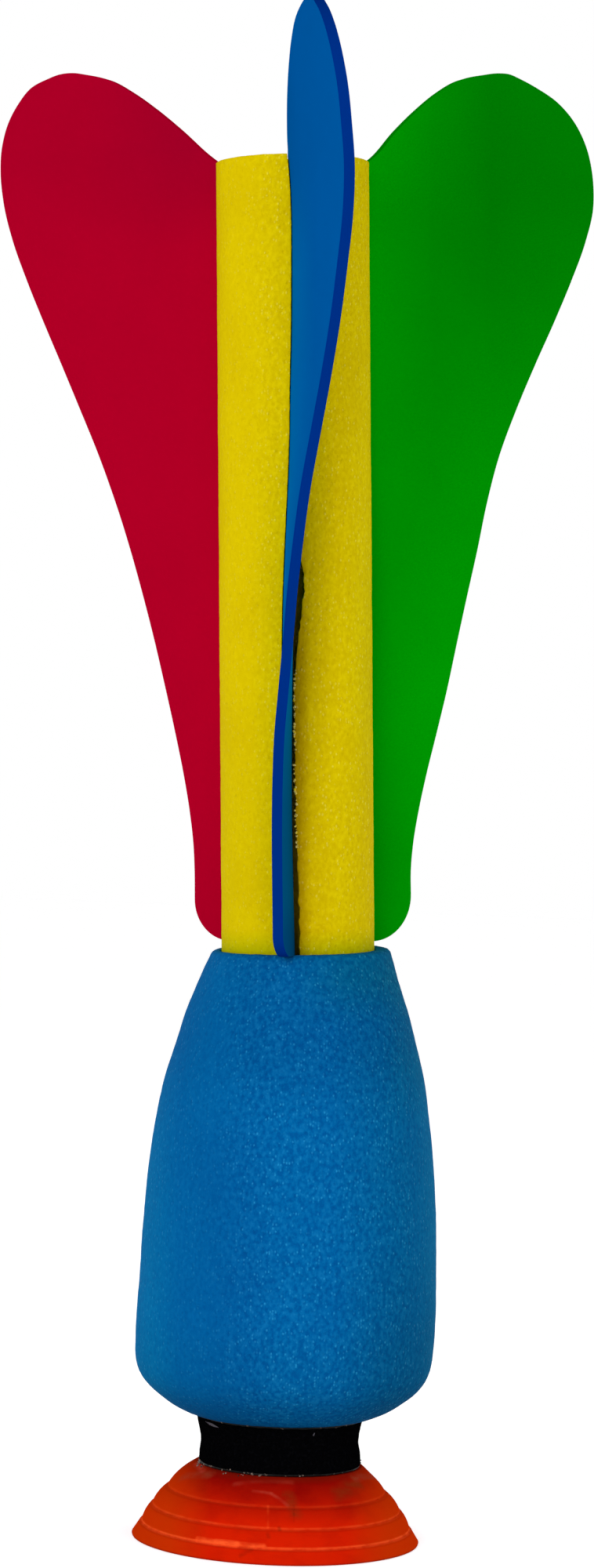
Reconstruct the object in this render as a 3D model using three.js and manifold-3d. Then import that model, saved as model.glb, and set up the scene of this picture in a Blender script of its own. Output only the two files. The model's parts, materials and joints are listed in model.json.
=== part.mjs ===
// A foam throwing rocket that stands nose down on its suction cup.
// Millimetres, +Z up. The origin is the middle of the cup's rim, on the surface that the rocket stands on.
// The blue fin faces -Y. The tube and its fins lean a little towards -X, as hand-glued foam does.

import * as THREE from 'three';
import { mergeVertices } from 'three/addons/utils/BufferGeometryUtils.js';
import Module from 'manifold-3d';

// Fits and cuts
const fit = 0.3; // clearance round a piece in its hole or slit
const overrun = 2; // how far a cut runs past the face that it opens
const filmThickness = 0.5; // a film of glue between two pieces

// Suction cup
const rimRadius = 27.8;
const cupHeight = 14.6;
const crownEdge = 0.4; // how far the cup's top face reaches past the collar's foot
const crownWall = 4.8; // soft plastic between the hollow and the top face
const lipWidth = 1.1;
const lipHeight = 0.3;
const ledge = 0.5; // how far each tier stands out past the one above it
const tierBulge = 0.3;
const stemRadius = 5.5;
const stemHeadRadius = 7.5;
const stemHeadHeight = 5;
const stemReach = 14; // how far the stem goes into the head
const stemTipShare = 0.6; // of the stem head's radius, at its tip, and of its height, down its slope
const dabShare = 0.8; // the radius of the glue on the stem's tip, as a share of the stem head's

// Collar
const collarFootRadius = 15.8;
const collarWaistRadius = 15.2;
const collarTopRadius = 16.1;
const collarHeight = 8.6;

// Head
const headRadius = 29.25;
const headLength = 90.7;
const rearWall = 2.4; // foam round the tube's socket, at the rear face
const socketDepth = 46.6;

// Tube
const tubeRadius = 14.9;
const boreRadius = 5;
const tubeLength = 200;
const tailLean = THREE.MathUtils.degToRad(2.55);
const leanDepth = 6.5; // from the head's rear face down to where the two axes cross

// Fins
const finThickness = 2.2;
const finReach = 54.8; // past the tube's surface, on a fin whose reach share is 1
const lobeRise = 22.3; // how far the red and blue fins stand past the tube's end
const greenLobeRise = 21.4;
const tabInset = 6.8; // how deep a fin's tab goes into the tube
const seamDepth = 1; // the glue between a tab and its slit's floor
const seamShortfall = 12; // how far the glue stops short of each end of the tab
const cornerRound = 6.5;
const sideFinRise = 1.5; // from the head's rear face up to a side fin's foot
const finBow = 10.1; // how far the front fin's edge is bent to the side
const slitGape = 1.1; // how far the front slit stands open beside its fin
const gapeHeight = 76;

// Facets
const roundSteps = 40;
const boreSteps = 20;
const tierSteps = 3;
const collarSteps = 6;
const bellSteps = 18;
const finRows = 28;
const finColumns = 5;
const curveSteps = 12; // between two points of a smooth table

// Outline shares. The cup's step radii run from crown to rim, and the heights are shares of its height.
const stepShares = [[0.418, 0.66], [0.662, 0.415], [0.838, 0.185]];
const hollowShares = [[0.95, 0.2], [0.84, 0.47], [0.69, 0.71], [0.5, 0.88], [0.26, 0.98]];
// The head's radii run from the nose, or from the rear, to its widest place, and the heights over its length.
const noseShares = [[0.29, 0.013], [0.72, 0.056], [0.93, 0.1], [1, 0.17]];
const flankShares = [
  [0.985, 0.3], [0.93, 0.455], [0.735, 0.683], [0.46, 0.836], [0.26, 0.912], [0.07, 0.982],
];
// A fin's outer edge: heights are shares of the fin's height, and reaches are shares of finReach.
const edgeHeightShares = [
  0, 0.1, 0.18, 0.27, 0.36, 0.45, 0.54, 0.63, 0.73, 0.8, 0.85, 0.9, 0.94, 0.97, 0.99, 1,
];
const redEdgeShares = [
  0.148, 0.148, 0.184, 0.25, 0.326, 0.414, 0.52, 0.651, 0.803, 0.9, 0.95, 0.968, 0.946, 0.89, 0.82, 0.71,
];
const greenEdgeShares = [
  0.183, 0.2, 0.256, 0.341, 0.415, 0.492, 0.57, 0.694, 0.858, 0.962, 1.012, 1.006, 0.957, 0.869, 0.745, 0.65,
];
// A fin's inner edge past the tube's end: heights are shares of the lobe's rise.
const brinkHeightShares = [0, 0.1, 0.32, 0.515, 0.71, 0.835, 0.93, 1];
const redBrinkShares = [0.005, 0.062, 0.164, 0.255, 0.364, 0.44, 0.52, 0.64];
const greenBrinkShares = [0.005, 0.06, 0.14, 0.219, 0.309, 0.382, 0.458, 0.59];
// The front fin's bend to the side at its root and at its edge, as shares of finBow.
const bowHeightShares = [0, 0.14, 0.24, 0.31, 0.39, 0.49, 0.55, 0.6, 0.68, 0.78, 0.84, 0.9, 0.96, 1];
const rootBowShares = [
  -0.165, -0.2, -0.19, -0.17, -0.14, -0.05, 0, 0.015, 0.055, 0.07, 0.05, -0.04, -0.095, -0.085,
];
const edgeBowShares = [
  -0.39, -0.39, -0.33, -0.2, -0.07, 0.16, 0.35, 0.52, 0.76, 0.96, 0.93, 0.83, 0.62, 0.38,
];
const bowPower = 1.6; // above 1, the bend grows towards the edge

// Places along the head's axis, and along the tube's axis from where the two cross
const collarBottom = cupHeight + filmThickness;
const collarTop = collarBottom + collarHeight;
const nose = collarTop + filmThickness;
const rear = nose + headLength;
const stemTop = nose + stemReach;
const tubeFront = leanDepth - socketDepth;
const tubeEnd = tubeFront + tubeLength;
const crownRadius = collarFootRadius + crownEdge;
const rearRadius = tubeRadius + rearWall;
const tabRadius = tubeRadius - tabInset;
const slitFloor = tabRadius - seamDepth - 2 * fit;

const wasm = await Module();
wasm.setup();
const { lerp } = THREE.MathUtils;
const point = (radius, height) => new THREE.Vector2(radius, height);

// A closed geometry as a solid with its faces pointing out
function solidOf(geometry) {
  geometry.deleteAttribute('normal');
  geometry.deleteAttribute('uv');
  const merged = mergeVertices(geometry);
  const positions = merged.attributes.position.array;
  const corner = (i) => new THREE.Vector3().fromArray(positions, 3 * i);
  const triangles = [];
  let volume = 0;
  for (let i = 0; i < merged.index.count; i += 3) {
    const [a, b, c] = merged.index.array.slice(i, i + 3);
    if (a === b || b === c || c === a) continue;
    triangles.push([a, b, c]);
    volume += corner(a).dot(corner(b).cross(corner(c)));
  }
  const facing = volume < 0 ? triangles.map(([a, b, c]) => [a, c, b]) : triangles;
  return new wasm.Manifold(new wasm.Mesh({
    numProp: 3,
    vertProperties: new Float32Array(positions),
    triVerts: new Uint32Array(facing.flat()),
  }));
}

// A profile of radii and heights, turned round the Z axis
function turned(profile, steps = roundSteps) {
  return new THREE.LatheGeometry(profile, steps).rotateX(Math.PI / 2);
}

function cylinder(radius, bottom, top, steps = roundSteps) {
  return turned([point(0, top), point(radius, top), point(radius, bottom), point(0, bottom)], steps);
}

// A value that follows a smooth curve through a table of heights and values
function follow(heights, values) {
  const curve = new THREE.SplineCurve(heights.map((height, i) => point(values[i], height)));
  const spots = curve.getPoints(curveSteps * heights.length);
  return (height) => {
    const next = spots.findIndex((spot) => spot.y >= height);
    if (next === 0) return spots[0].x;
    if (next < 0) return spots.at(-1).x;
    const [low, high] = [spots[next - 1], spots[next]];
    return lerp(low.x, high.x, (height - low.y) / (high.y - low.y));
  };
}

// A closed sheet that stands on edge. Each row runs from its inner to its outer radius at one height, and
// offsetAt says how far the sheet lies to the side there.
function sheet(rows, offsetAt, thickness) {
  const [width, layer] = [finColumns + 1, rows.length * (finColumns + 1)];
  const positions = [];
  for (const side of [-1, 1]) {
    for (const row of rows) {
      for (let column = 0; column < width; column++) {
        const radius = lerp(row.inner, row.outer, column / finColumns);
        positions.push(radius, offsetAt(radius, row.height) + (side * thickness) / 2, row.height);
      }
    }
  }
  const index = [];
  const quad = (a, b, c, d) => index.push(a, b, c, a, c, d);
  for (let i = 0; i < rows.length - 1; i++) {
    for (let column = 0; column < finColumns; column++) {
      const a = i * width + column;
      quad(a, a + 1, a + width + 1, a + width);
      quad(layer + a, layer + a + width, layer + a + width + 1, layer + a + 1);
    }
    const [low, high] = [i * width, (i + 1) * width];
    for (const [a, b] of [[low, high], [high + finColumns, low + finColumns]]) {
      quad(a, b, layer + b, layer + a);
    }
  }
  for (let column = 0; column < finColumns; column++) {
    const top = (rows.length - 1) * width + column;
    quad(column + 1, column, layer + column, layer + column + 1);
    quad(top, top + 1, layer + top + 1, layer + top);
  }
  const geometry = new THREE.BufferGeometry();
  geometry.setAttribute('position', new THREE.Float32BufferAttribute(positions, 3));
  return geometry.setIndex(index);
}

function meshOf(name, solid, material) {
  const { numProp, vertProperties, triVerts } = solid.getMesh();
  const positions = [];
  for (let i = 0; i < vertProperties.length; i += numProp) positions.push(...vertProperties.slice(i, i + 3));
  const geometry = new THREE.BufferGeometry();
  geometry.setAttribute('position', new THREE.Float32BufferAttribute(positions, 3));
  geometry.setIndex([...triVerts]);
  geometry.computeVertexNormals();
  const mesh = new THREE.Mesh(geometry, material);
  mesh.name = name;
  return mesh;
}

const finish = (color, roughness) => new THREE.MeshStandardMaterial({ color, roughness, metalness: 0 });

// Suction cup: a stepped dome with a thin lip, a hollow below and a stem with a mushroom head above
function suctionCup() {
  const profile = [
    point(0, stemTop),
    point(stemHeadRadius * stemTipShare, stemTop),
    point(stemHeadRadius, stemTop - stemHeadHeight * stemTipShare),
    point(stemHeadRadius, stemTop - stemHeadHeight),
    point(stemRadius, stemTop - stemHeadHeight),
    point(stemRadius, cupHeight),
  ];
  let top = point(crownRadius, cupHeight);
  const feet = [...stepShares, [1, lipHeight / cupHeight]];
  feet.forEach(([radiusShare, heightShare], i) => {
    const isRim = i === feet.length - 1;
    const foot = point(lerp(crownRadius, rimRadius, radiusShare), cupHeight * heightShare);
    const middle = top.clone().lerp(foot, 0.5).add(point(tierBulge, tierBulge));
    profile.push(...new THREE.SplineCurve([top, middle, foot]).getPoints(tierSteps));
    top = isRim ? foot : point(foot.x + ledge, foot.y - ledge / 2);
  });
  profile.push(point(rimRadius - lipHeight, 0), point(rimRadius - lipWidth, 0));
  const hollowDepth = cupHeight - crownWall;
  for (const [radiusShare, heightShare] of hollowShares) {
    profile.push(point((rimRadius - lipWidth) * radiusShare, hollowDepth * heightShare));
  }
  profile.push(point(0, hollowDepth));
  return meshOf('suction_cup', solidOf(turned(profile)), finish(0xc81e05, 0.35));
}

// Collar: a black foam spool, drawn in at the waist, with a hole for the stem
function neckCollar() {
  const hole = stemRadius + fit;
  const side = [
    point(collarTopRadius, collarTop),
    point(collarWaistRadius, (collarTop + collarBottom) / 2),
    point(collarFootRadius, collarBottom),
  ];
  const spool = new THREE.SplineCurve(side).getPoints(collarSteps);
  const profile = [...spool, point(hole, collarBottom), point(hole, collarTop), spool[0]];
  return meshOf('neck_collar', solidOf(turned(profile)), finish(0x0a0a0b, 0.85));
}

// Films of glue under and over the collar, and on the stem's end
function glueRing(name, outerRadius, bottom, material) {
  const [inner, top] = [stemRadius + fit, bottom + filmThickness];
  const outerSide = [point(outerRadius, top), point(outerRadius, bottom)];
  const profile = [...outerSide, point(inner, bottom), point(inner, top), outerSide[0]];
  return meshOf(name, solidOf(turned(profile)), material);
}

function stemGlue(material) {
  const dab = cylinder(stemHeadRadius * dabShare, stemTop, stemTop + filmThickness, boreSteps);
  return meshOf('stem_glue', solidOf(dab), material);
}

// Head: a foam bell with a hole for the stem in its nose. Its rear face is cut square to the slanting tube,
// and the tube's socket is in it.
function headFoam(tailMatrix) {
  const [hole, pocket] = [stemRadius + fit, stemHeadRadius + fit];
  const pocketBottom = stemTop - stemHeadHeight - fit;
  const noseRadius = collarTopRadius + fit;
  const bell = [
    point(noseRadius, nose),
    ...noseShares.map(([r, z]) => point(lerp(noseRadius, headRadius, r), nose + headLength * z)),
    ...flankShares.map(([r, z]) => point(lerp(rearRadius, headRadius, r), nose + headLength * z)),
  ];
  const profile = [
    point(0, stemTop + filmThickness),
    point(pocket, stemTop + filmThickness),
    point(pocket, pocketBottom),
    point(hole, pocketBottom),
    point(hole, nose),
    ...new THREE.SplineCurve(bell).getPoints(bellSteps),
    point(rearRadius, rear + overrun),
    point(0, rear + overrun),
  ];
  const socketFloor = tubeFront - filmThickness - 2 * fit;
  const socket = cylinder(tubeRadius + fit, socketFloor, leanDepth + overrun).applyMatrix4(tailMatrix);
  const beyond = cylinder(headRadius, leanDepth, leanDepth + 2 * overrun).applyMatrix4(tailMatrix);
  const head = solidOf(turned(profile)).subtract(solidOf(socket)).subtract(solidOf(beyond));
  return meshOf('head_foam', head, finish(0x0a5f9e, 0.9));
}

function tubeGlue(material) {
  const bottom = tubeFront - filmThickness - fit;
  const disc = cylinder(tubeRadius, bottom, bottom + filmThickness);
  return meshOf('tube_glue', solidOf(disc), material);
}

// Fins: each is one sheet, with a tab in the tube's slit, a blade outside and a lobe past the tube's end
const average = (a, b) => a.map((value, i) => (value + b[i]) / 2);
const noBow = bowHeightShares.map(() => 0);
const fins = [
  {
    name: 'fin_red',
    azimuth: 150,
    rise: sideFinRise,
    lobe: lobeRise,
    edge: redEdgeShares,
    brink: redBrinkShares,
  },
  {
    name: 'fin_green',
    azimuth: 30,
    rise: sideFinRise,
    lobe: greenLobeRise,
    edge: greenEdgeShares,
    brink: greenBrinkShares,
  },
  {
    name: 'fin_blue',
    azimuth: -90,
    rise: fit,
    lobe: lobeRise,
    edge: average(redEdgeShares, greenEdgeShares),
    brink: average(redBrinkShares, greenBrinkShares),
    isBowed: true,
  },
];
const finColours = { fin_red: 0xae0026, fin_green: 0x028504, fin_blue: 0x05509a };

const reach = (share) => tubeRadius + finReach * share;
const finFoot = (fin) => leanDepth + fin.rise;
const finTop = (fin) => tubeEnd + fin.lobe;

// How far the sheet lies to the side: the bend at the root, growing to the bend at the edge
function bowOf(fin) {
  const heights = bowHeightShares.map((share) => lerp(finFoot(fin), finTop(fin), share));
  const bow = (shares) => follow(heights, shares.map((share) => finBow * share));
  const [root, edge] = [bow(fin.isBowed ? rootBowShares : noBow), bow(fin.isBowed ? edgeBowShares : noBow)];
  const edgeRadius = edgeOf(fin);
  return (radius, height) => {
    const out = (radius - tubeRadius) / (edgeRadius(height) - tubeRadius);
    return lerp(root(height), edge(height), Math.max(0, out) ** bowPower);
  };
}

function edgeOf(fin) {
  const heights = edgeHeightShares.map((share) => lerp(finFoot(fin), finTop(fin), share));
  return follow(heights, fin.edge.map(reach));
}

// The foot's outer corner is round
function cornerCut(height, foot) {
  const below = Math.max(0, cornerRound - (height - foot));
  return cornerRound - Math.sqrt(cornerRound ** 2 - below ** 2);
}

function finRowHeights(fin) {
  const heights = [tubeEnd, tubeEnd + fit];
  for (let i = 0; i <= finRows; i++) {
    const height = lerp(finFoot(fin), finTop(fin), (1 - Math.cos((Math.PI * i) / finRows)) / 2);
    if (Math.abs(height - tubeEnd) > 2 * fit) heights.push(height);
  }
  return heights.sort((a, b) => a - b);
}

function finMesh(fin) {
  const [edge, foot] = [edgeOf(fin), finFoot(fin)];
  const brinkHeights = brinkHeightShares.map((share) => lerp(tubeEnd + fit, finTop(fin), share));
  const brink = follow(brinkHeights, fin.brink.map(reach));
  const rows = finRowHeights(fin).map((height) => ({
    height,
    inner: height > tubeEnd ? brink(height) : tabRadius,
    outer: edge(height) - cornerCut(height, foot),
  }));
  return meshOf(fin.name, solidOf(sheet(rows, bowOf(fin), finThickness)), finish(finColours[fin.name], 0.7));
}

// A straight-sided strip of sheet that follows the fin's root, for its slit and its glue
function rootStrip(fin, inner, outer, bottom, top, thickness, shift = 0) {
  const rows = [];
  for (let i = 0; i <= finRows; i += 2) rows.push({ height: lerp(bottom, top, i / finRows), inner, outer });
  const bow = bowOf(fin);
  return sheet(rows, (radius, height) => bow(tubeRadius, height) + shift, thickness);
}

function slitOf(fin) {
  const [bottom, outer] = [finFoot(fin) - fit, tubeRadius + overrun];
  const width = finThickness + 2 * fit;
  const slit = solidOf(rootStrip(fin, slitFloor, outer, bottom, tubeEnd + overrun, width));
  if (!fin.isBowed) return slit;
  const shift = (width + slitGape) / 2 - fit;
  const gape = rootStrip(fin, slitFloor, outer, bottom, bottom + gapeHeight, slitGape, shift);
  return slit.add(solidOf(gape));
}

function finGlue(fin, material) {
  const [inner, outer] = [slitFloor + fit, tabRadius - fit];
  const [bottom, top] = [finFoot(fin) + seamShortfall, tubeEnd - seamShortfall];
  const strip = rootStrip(fin, inner, outer, bottom, top, finThickness);
  return meshOf(`${fin.name}_glue`, solidOf(strip), material);
}

// Tube: foam with a bore, slit three times from its tail end
function bodyTube() {
  const tube = solidOf(cylinder(tubeRadius, tubeFront, tubeEnd));
  const bore = solidOf(cylinder(boreRadius, tubeFront - overrun, tubeEnd + overrun, boreSteps));
  const slits = fins.map((fin) => slitOf(fin).rotate([0, 0, fin.azimuth]));
  const foam = slits.reduce((solid, slit) => solid.subtract(slit), tube.subtract(bore));
  return meshOf('body_tube', foam, finish(0xd8c400, 0.85));
}

const rocket = new THREE.Group();
const glue = () => finish(0xcfcbbd, 0.4);
rocket.add(suctionCup(), neckCollar());
rocket.add(glueRing('collar_cup_glue', collarFootRadius, cupHeight, glue()));
rocket.add(glueRing('collar_head_glue', collarTopRadius, collarTop, glue()), stemGlue(glue()));

const tail = new THREE.Group();
tail.position.z = rear - leanDepth;
tail.rotation.y = -tailLean;
tail.updateMatrix();
rocket.add(headFoam(tail.matrix), tail);
tail.add(bodyTube(), tubeGlue(glue()));
for (const fin of fins) {
  const holder = new THREE.Group();
  holder.rotation.z = THREE.MathUtils.degToRad(fin.azimuth);
  holder.add(finMesh(fin), finGlue(fin, glue()));
  tail.add(holder);
}

export default rocket;
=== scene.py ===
"""A foam throwing rocket that stands nose down on its suction cup. Lengths are in metres."""

import json
import math

import bmesh
import bpy
import numpy as np
from mathutils import Matrix, Vector, noise
from mathutils.bvhtree import BVHTree


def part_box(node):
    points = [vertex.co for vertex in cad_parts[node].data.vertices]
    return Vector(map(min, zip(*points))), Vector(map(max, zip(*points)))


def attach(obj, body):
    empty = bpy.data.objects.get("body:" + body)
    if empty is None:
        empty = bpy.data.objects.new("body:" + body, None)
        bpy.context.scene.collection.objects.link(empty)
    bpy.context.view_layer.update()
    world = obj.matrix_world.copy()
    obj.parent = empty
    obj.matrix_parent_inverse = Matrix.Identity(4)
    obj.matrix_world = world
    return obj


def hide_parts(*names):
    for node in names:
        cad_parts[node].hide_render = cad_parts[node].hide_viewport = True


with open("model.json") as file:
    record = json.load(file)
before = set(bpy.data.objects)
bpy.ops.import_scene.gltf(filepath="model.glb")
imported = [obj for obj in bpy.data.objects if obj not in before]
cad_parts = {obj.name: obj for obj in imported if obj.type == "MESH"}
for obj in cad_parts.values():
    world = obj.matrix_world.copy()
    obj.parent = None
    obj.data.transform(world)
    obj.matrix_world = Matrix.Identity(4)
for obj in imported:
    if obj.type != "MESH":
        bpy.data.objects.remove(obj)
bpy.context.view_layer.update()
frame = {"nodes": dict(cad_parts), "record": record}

MM = 0.001
RANDOM = np.random.default_rng(7)

# Mesh steps
ROUND_STEPS = 192
BORE_STEPS = 48
ARC_STEPS = 66  # on the tube, from one slit to the next
SLIT_STEPS = 6
TIER_STEPS = 12
HOLLOW_STEPS = 40
COLLAR_STEPS = 40
BELL_STEPS = 90
SHOULDER_STEPS = 8
OUTLINE_STEPS = 330
CORNER_STEPS = 24
STRAND_STEPS = 9
STRAND_SIDES = 8
TUBE_STEP = 0.65 * MM
HIDDEN_STEP = 5 * MM
FIN_STEP = 2 * MM

# How the CAD's corners are read
CLOSE = 0.02 * MM  # corners this close lie at one place
ROW_GAP = 0.1 * MM  # rows of a fin's corners lie further apart than this
RING_CORNERS = 64  # a ring round a turned node has more corners than this

# Camera, as the photograph was taken
CAMERA_DISTANCE = 765 * MM
CAMERA_HEIGHT = 146.3 * MM
CAMERA_ROLL = math.radians(2.15)
VIEW_HEIGHT = 306 * MM  # that the picture shows at the rocket's axis
SENSOR_WIDTH = 36  # mm
PICTURE_HEIGHT = 2000
AXIS_PIXEL = (354, 1005)
MIDDLE_PIXEL = (379, 1000)
RIGHT = Vector((math.cos(CAMERA_ROLL), 0, math.sin(CAMERA_ROLL)))
UP = Vector((-math.sin(CAMERA_ROLL), 0, math.cos(CAMERA_ROLL)))
BACK = Vector((0, -1, 0))
EYE = UP * CAMERA_HEIGHT + BACK * CAMERA_DISTANCE

# Colours, as they show in the photograph
CUP_RED = (212, 30, 2)
# Deeper red, partly painted shade under the collar
CUP_DEEP_AND_SHADED = (146, 8, 4)
# Painted sheen at the cup's sides
CUP_SIDE_SHEEN = (198, 50, 2)
# Painted highlight on the cup's steps' edges, and the pale line of a seam
CUP_HIGHLIGHT_AND_SEAM = (255, 92, 40)
# Painted shade in the creases under the cup's steps
CUP_CREASE_SHADE = (140, 10, 2)
CUP_PALE = (196, 70, 52)
CUP_HAZE = (150, 62, 38)
CUP_OLIVE = (140, 42, 14)
# Painted shade at the cup's neck and rim foot, and its dark spots
CUP_SHADE_AND_SPOTS = (120, 22, 6)
COLLAR_BLACK = (3, 3, 4)
COLLAR_GREY = (9, 9, 12)
# Foam's dark and middle shades, its pale one and the colour of its painted glints
HEAD_BLUES = ((0, 78, 143), (0, 94, 157), (18, 118, 178), (40, 158, 218))
TUBE_YELLOWS = ((202, 170, 0), (219, 194, 0), (237, 214, 8), (252, 238, 76))
TUBE_OCHRE = (220, 196, 0)
TORN_YELLOW = (206, 190, 112)
RED_EVA = (172, 0, 36)
GREEN_EVA = (0, 139, 2)
BLUE_EVA = (0, 86, 160)
BLUE_CUT = (0, 43, 124)
GLUE_WHITE = (128, 110, 100)
GLUE_GREY = (12, 11, 11)
LINT_GREY = (116, 112, 120)
WHITE = (1, 1, 1, 1)  # as the shaders take it

# Painted light and shade, and some change in the foam's own colour, over a piece: ranges in mm in the
# tube's frame, then the factors for red, green and blue that are reached at the ranges' far ends
HEAD_TONES = [
    ([("Z", 15, 27)], (0.8, 0.82, 0.85)),
    ([("Z", 15, 27), ("X", -9, -15)], (1, 1.16, 1.12)),
    ([("Z", 12, 24), ("X", 16, 22)], (1, 1.16, 1)),
    ([("Z", 33, 41)], (1.3, 1.06, 1.03)),
    ([("Z", 33, 41), ("X", -2, 8)], (1, 1.03, 0.84)),
    ([("X", 6, 20)], (1, 0.95, 0.835)),
    ([("X", -4, -10), ("X", -22, -16), ("Z", 20, 10)], (1, 0.89, 0.93)),
    ([("Z", -8, -25), ("X", 6, 15)], (1, 0.88, 0.88)),
    ([("X", -23, -29)], (1, 1.3, 1.1)),
    ([("X", 22, 28)], (1, 1.35, 1.1)),
    ([("Z", -22, -45)], (1, 0.85, 0.8)),
]
# Among them the front fin's painted shadow beside its slit
TUBE_TONES = [
    ([("Z", 105, 75)], (0.95, 0.96, 1)),
    ([("Z", 105, 75), ("X", -5.5, 3.5)], (0.94, 0.94, 1)),
    ([("Z", 112, 135), ("X", 3, 8)], (1.08, 1.06, 1)),
    ([("X", 8, 13), ("Z", 70, 100)], (0.9, 0.96, 1)),
    ([("X", 7.5, 0.5), ("X", -1.6, -1), ("Y", -4, -10), ("Z", 150, 118)], (0.86, 0.79, 1)),
    ([("X", 2.6, -0.4), ("X", -1.6, -1), ("Y", -4, -10), ("Z", 150, 118)], (0.66, 0.56, 1)),
    ([("X", -9, -3.5), ("X", -1.6, -2), ("Y", -4, -10), ("Z", 150, 120)], (0.9, 0.94, 1)),
    ([("Z", 51, 46)], (0.68, 0.86, 1)),
]
RED_TONES = [
    ([("Z", 180, 205)], (0.92, 1, 1)),
    ([("Z", 185, 205), ("X", -42, -22)], (0.85, 1, 1)),
    ([("Z", 85, 60)], (0.95, 1, 1)),
]
GREEN_TONES = [
    ([("Z", 191, 54)], (1, 1.34, 1)),
    ([("Z", 120, 175), ("X", 28, 17)], (1, 1.3, 1)),
    ([("Z", 140, 200), ("X", 27, 40)], (1, 0.74, 1)),
    ([("Z", 160, 130)], (1, 0.95, 1)),
    ([("Z", 95, 65)], (1, 0.84, 1)),
]
BLUE_TONES = [
    ([("Y", -44, -22), ("Z", 75, 100), ("Z", 195, 175)], (1, 1.42, 1.16)),
    ([("Y", -48, -18), ("Z", 115, 95)], (1, 0.85, 0.5)),
    ([("Y", -48, -18), ("Z", 57, 50)], (1, 0.75, 0.9)),
]
# Ranges over which the foam has fewer flecks and fewer painted glints
HEAD_CALM = [[("X", -9, -17)], [("X", 18, 26)]]
TUBE_CALM = [[("X", -4, -9)]]


# Numbers and curves


def placed(points, place):
    matrix = np.array(place)
    return points @ matrix[:3, :3].T + matrix[:3, 3]


def corners(node, place=Matrix()):
    """A CAD node's corners, one row each, in the frame that place stands for."""
    found = np.array([vertex.co for vertex in frame["nodes"][node].data.vertices])
    return placed(found, place.inverted())


def smooth(places, values, at):
    """Rows of values at the places in at, on a smooth curve through the given rows."""
    places = np.asarray(places, float)
    values = np.asarray(values, float).reshape(len(places), -1)
    at = np.atleast_1d(at)
    slopes = np.gradient(values, places, axis=0)
    i = np.clip(np.searchsorted(places, at) - 1, 0, len(places) - 2)
    step = (places[i + 1] - places[i])[:, None]
    t = np.clip((at - places[i])[:, None] / step, 0, 1)
    low = (1 + 2 * t) * (1 - t) ** 2 * values[i] + t * (1 - t) ** 2 * step * slopes[i]
    high = t * t * (3 - 2 * t) * values[i + 1] + t * t * (t - 1) * step * slopes[i + 1]
    return low + high


def apart(table):
    """A table's first column, and the rest of it."""
    table = np.array(table)
    return table[:, 0], table[:, 1:]


def resample(points, count):
    """Points evenly spaced on a smooth curve through the given ones."""
    points = np.asarray(points, float)
    lengths = np.linalg.norm(np.diff(points, axis=0), axis=1)
    along = np.concatenate([[0], np.cumsum(lengths)])
    return smooth(along, points, np.linspace(0, along[-1], count))


def bend(start, pull, end, count):
    """Points on a curve from start to end that leans towards pull."""
    t = np.linspace(0, 1, count)[:, None]
    return (1 - t) ** 2 * np.array(start) + 2 * t * (1 - t) * np.array(pull) + t * t * np.array(end)


def levels(heights, gap):
    """The separate levels among heights that lie more than gap apart."""
    heights = np.sort(heights)
    starts = np.concatenate([[0], np.flatnonzero(np.diff(heights) > gap) + 1, [len(heights)]])
    return [heights[a:b].mean() for a, b in zip(starts[:-1], starts[1:])]


def tail_place():
    """The tube's own frame, with Z up its axis from the middle of its front end."""
    face = next(mount for mount in frame["record"]["mounts"] if mount["name"] == "tail_face")
    turn = Vector((0, 0, 1)).rotation_difference(Vector(face["axis"])).to_matrix().to_4x4()
    tube = corners("body_tube", turn)
    front = tube[tube[:, 2] < tube[:, 2].min() + CLOSE]
    return turn @ Matrix.Translation((front.min(axis=0) + front.max(axis=0)) / 2)


TAIL = tail_place()
TUBE = corners("body_tube", TAIL)
CORNER_RADII = np.hypot(TUBE[:, 0], TUBE[:, 1])
TUBE_RADIUS = CORNER_RADII.max()
BORE_RADIUS = CORNER_RADII.min()
TUBE_LENGTH = TUBE[:, 2].max()
HEAD_REAR = corners("head_foam", TAIL)[:, 2].max()  # up the tube's axis
FIN_AZIMUTHS = {"fin_blue": -90, "fin_green": 30, "fin_red": 150}


# Meshes

# The points of a rounded edge, in shares of its width off one face and off the other
NICK_SHARE = 0.3
ROUNDED_SHARES = [(1, 0), (NICK_SHARE, NICK_SHARE), (0, 1)]


def added(name, data):
    """A new object in the scene."""
    obj = bpy.data.objects.new(name, data)
    bpy.context.scene.collection.objects.link(obj)
    return obj


def piece(name, vertices, faces, slot, *materials, sharp=40):
    """A new piece of the object. Edges sharper than sharp degrees stay crisp."""
    mesh = bpy.data.meshes.new(name)
    mesh.from_pydata([tuple(vertex) for vertex in vertices], [], faces)
    skin = bmesh.new()
    skin.from_mesh(mesh)
    bmesh.ops.recalc_face_normals(skin, faces=skin.faces)
    skin.to_mesh(mesh)
    skin.free()
    mesh.shade_smooth()
    mesh.set_sharp_from_angle(angle=math.radians(sharp))
    for material in materials:
        mesh.materials.append(material)
    obj = added(name, mesh)
    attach(obj, "root")
    return obj


def loft(rings, capped=True):
    """Vertices and faces of a skin through rings of as many points each."""
    count = len(rings[0])
    faces = []
    for low in range(0, (len(rings) - 1) * count, count):
        for i in range(count):
            j = (i + 1) % count
            faces.append((low + i, low + j, low + count + j, low + count + i))
    if capped:
        last = (len(rings) - 1) * count
        faces += [tuple(range(count))[::-1], tuple(range(last, last + count))]
    return np.concatenate(rings), faces


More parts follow.
